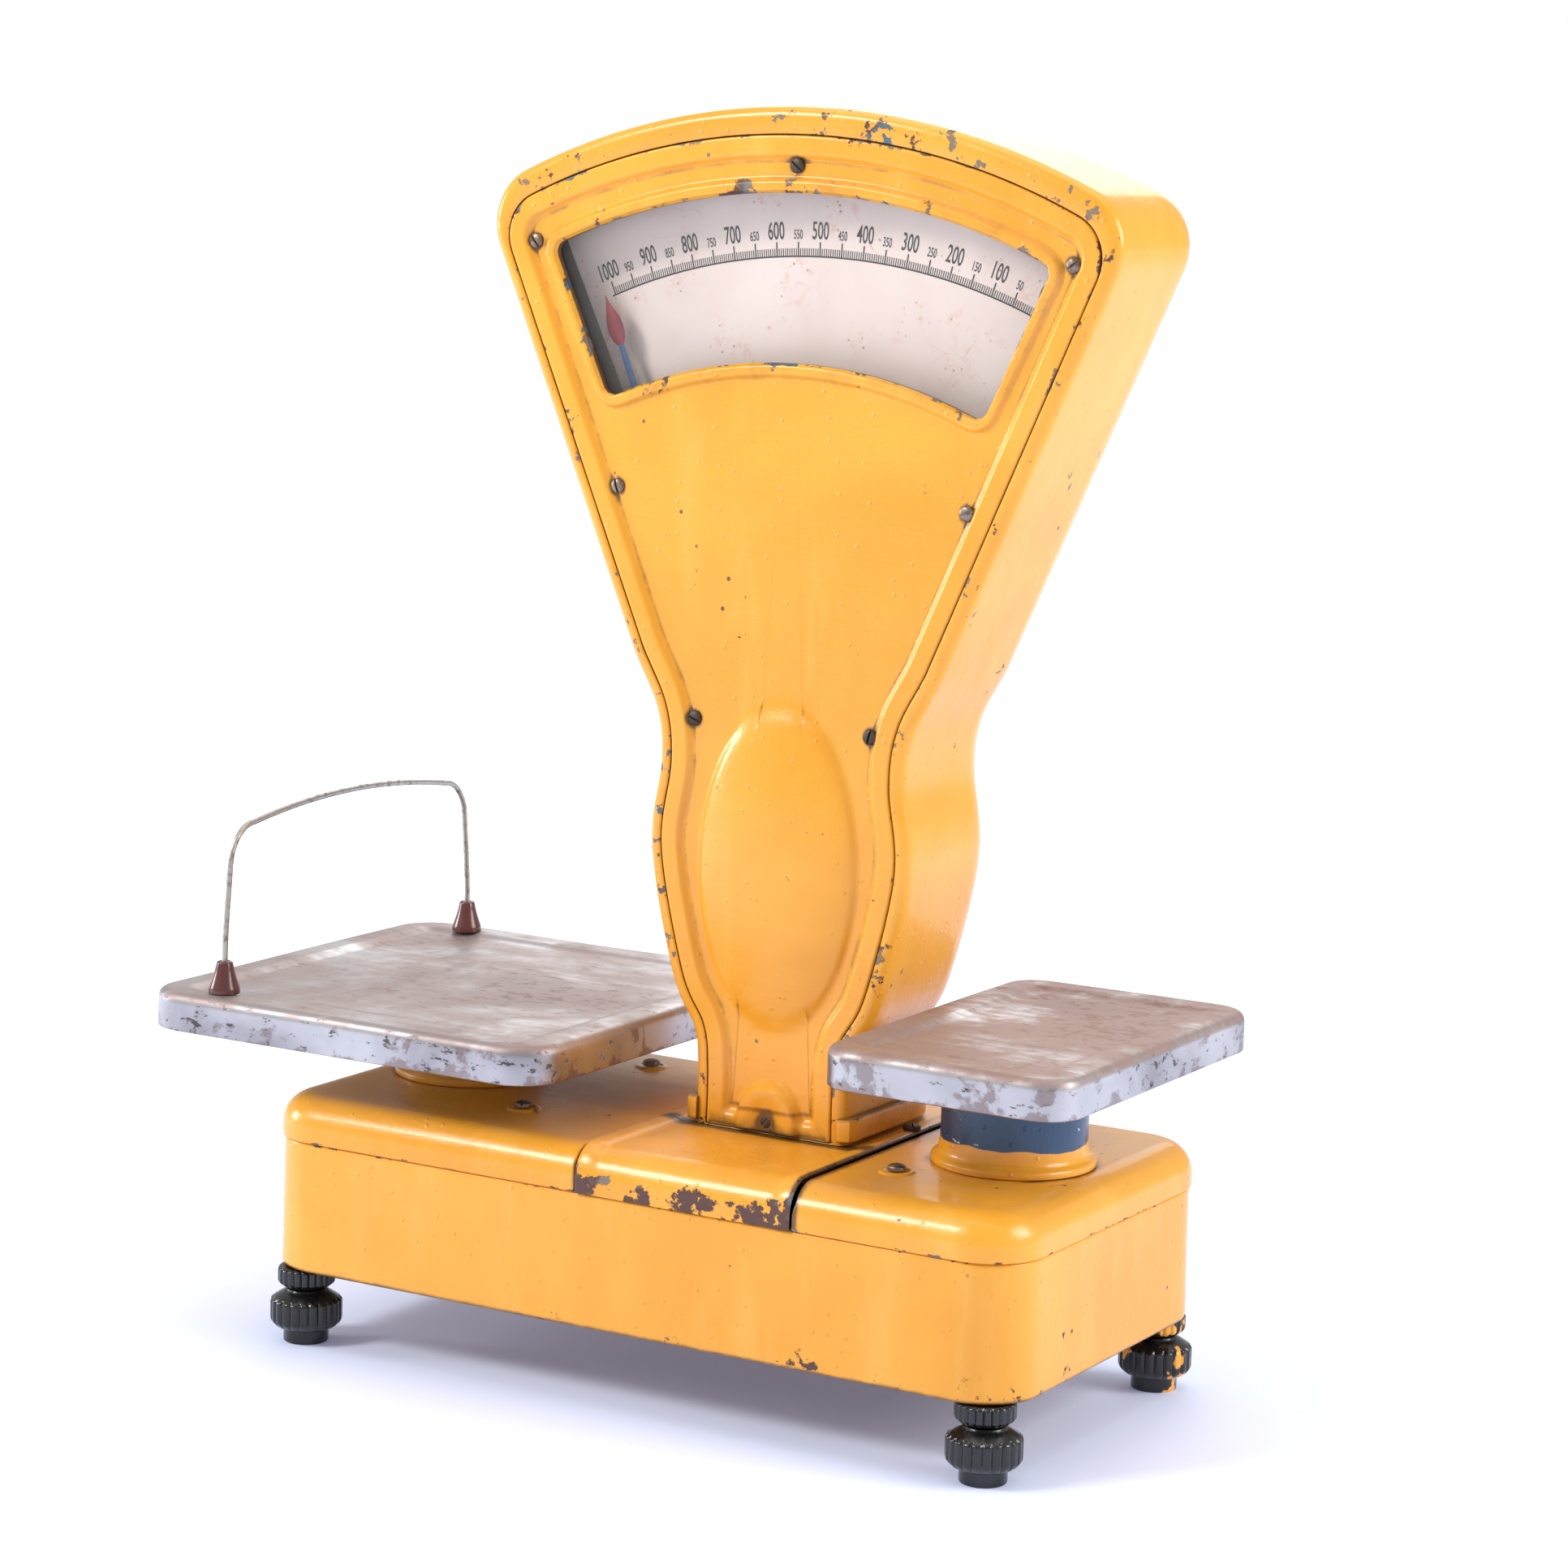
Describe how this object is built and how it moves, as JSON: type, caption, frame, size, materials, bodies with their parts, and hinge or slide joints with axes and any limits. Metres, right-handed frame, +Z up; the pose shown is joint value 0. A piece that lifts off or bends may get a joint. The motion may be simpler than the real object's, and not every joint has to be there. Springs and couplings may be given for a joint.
{
  "type": "two-pan dial counter scale",
  "caption": "Counter scale with a goods pan, a weights pan and a fan-shaped dial head; an equal-arm beam in the base turns the pointers.",
  "frame": {"origin": "middle of the scale's bounding box, on the surface that its feet stand on", "axes": "+Z up, +X along the beam towards the weights pan, +Y from the dial's front to its back"},
  "size_m": [0.5304, 0.253, 0.6462],
  "materials": {
    "enamel": "brushed yellow enamel with chips",
    "pan_aluminium": "worn and stained",
    "black_phenolic": "moulded gloss",
    "brown_phenolic": "moulded gloss",
    "plated_steel": "worn plating",
    "dark_steel": "dark oxide",
    "grey_casting": "painted casting",
    "dial_enamel": "aged cream enamel",
    "pointer_paint": "blue paint",
    "clear_glass": "clear"
  },
  "bodies": {
    "housing": {"base_housing": "enamel", "left_lid": "enamel", "right_lid": "enamel", "front_centre_cover": "enamel", "rear_centre_cover": "enamel", "left_neck": "enamel", "right_neck": "enamel", "column_foot_collar": "enamel", "head_casing": "enamel", "front_cover": "enamel", "front_left_lock_nut": "black_phenolic", "front_right_lock_nut": "black_phenolic", "back_left_lock_nut": "black_phenolic", "back_right_lock_nut": "black_phenolic", "cover_screw_1": "plated_steel", "cover_screw_2": "plated_steel", "cover_screw_3": "plated_steel", "cover_screw_4": "plated_steel", "cover_screw_5": "plated_steel", "cover_screw_6": "plated_steel", "cover_screw_7": "plated_steel", "cover_screw_8": "plated_steel", "lid_screw_1": "plated_steel", "lid_screw_2": "plated_steel", "lid_screw_3": "plated_steel", "lid_screw_4": "plated_steel", "centre_cover_screw": "dark_steel", "fulcrum_stand": "grey_casting", "dial_bracket": "grey_casting", "damper_cylinder": "grey_casting", "front_dial": "dial_enamel", "rear_dial": "dial_enamel", "front_glass": "clear_glass", "rear_glass": "clear_glass"},
    "beam": {"main_beam": "grey_casting"},
    "check_lever": {"check_lever": "grey_casting"},
    "goods_carriage": {"goods_carrier": "grey_casting", "goods_pan": "pan_aluminium", "guard_wire": "plated_steel", "guard_foot_front": "brown_phenolic", "guard_foot_rear": "brown_phenolic"},
    "weights_carriage": {"weights_carrier": "grey_casting", "weights_pan": "pan_aluminium"},
    "pointers": {"front_pointer": "pointer_paint", "rear_pointer": "pointer_paint", "pointer_shaft": "plated_steel", "counterweight_quadrant": "grey_casting"},
    "connecting_link": {"connecting_link": "dark_steel"},
    "damper_piston": {"damper_piston": "dark_steel"},
    "front_left_foot": {"front_left_foot_knob": "black_phenolic", "front_left_foot_stud": "plated_steel"},
    "front_right_foot": {"front_right_foot_knob": "black_phenolic", "front_right_foot_stud": "plated_steel"},
    "back_left_foot": {"back_left_foot_knob": "black_phenolic", "back_left_foot_stud": "plated_steel"},
    "back_right_foot": {"back_right_foot_knob": "black_phenolic", "back_right_foot_stud": "plated_steel"}
  },
  "joints": [
    {"name": "beam_tilt", "type": "hinge", "parent": "housing", "child": "beam", "pos_m": [0.02212, 0, 0.098], "axis": [0, 1, 0], "range_deg": [0, 7.03]},
    {"name": "check_lever_tilt", "type": "hinge", "parent": "housing", "child": "check_lever", "pos_m": [0.02212, 0, 0.066], "axis": [0, 1, 0], "range_deg": [0, 7.04]},
    {"name": "goods_carriage_rise", "type": "slide", "parent": "housing", "child": "goods_carriage", "axis": [0, 0, 1], "range_m": [0, 0.02]},
    {"name": "weights_carriage_fall", "type": "slide", "parent": "housing", "child": "weights_carriage", "axis": [0, 0, -1], "range_m": [0, 0.02]},
    {"name": "pointer_turn", "type": "hinge", "parent": "housing", "child": "pointers", "pos_m": [0.05912, 0, 0.2632], "axis": [0, 1, 0], "range_deg": [0, 45.4]},
    {"name": "link_travel", "type": "slide", "parent": "housing", "child": "connecting_link", "axis": [0, 0, -1], "range_m": [0, 0.0054]},
    {"name": "damper_travel", "type": "slide", "parent": "housing", "child": "damper_piston", "axis": [0, 0, 1], "range_m": [0, 0.0093]},
    {"name": "front_left_foot_turn", "type": "hinge", "parent": "housing", "child": "front_left_foot", "pos_m": [-0.17888, -0.094, 0.02], "axis": [0, 0, 1], "continuous": true},
    {"name": "front_right_foot_turn", "type": "hinge", "parent": "housing", "child": "front_right_foot", "pos_m": [0.22312, -0.094, 0.02], "axis": [0, 0, 1], "continuous": true},
    {"name": "back_left_foot_turn", "type": "hinge", "parent": "housing", "child": "back_left_foot", "pos_m": [-0.17888, 0.094, 0.02], "axis": [0, 0, 1], "continuous": true},
    {"name": "back_right_foot_turn", "type": "hinge", "parent": "housing", "child": "back_right_foot", "pos_m": [0.22312, 0.094, 0.02], "axis": [0, 0, 1], "continuous": true}
  ],
  "couplings": [
    {"joint": "check_lever_tilt", "follows": "beam_tilt", "ratio": 1},
    {"joint": "goods_carriage_rise", "follows": "beam_tilt", "m_per_rad": 0.1629},
    {"joint": "weights_carriage_fall", "follows": "beam_tilt", "m_per_rad": 0.1629},
    {"joint": "pointer_turn", "follows": "beam_tilt", "ratio": 6.4538},
    {"joint": "link_travel", "follows": "beam_tilt", "m_per_rad": 0.043784},
    {"joint": "damper_travel", "follows": "beam_tilt", "m_per_rad": 0.075}
  ]
}
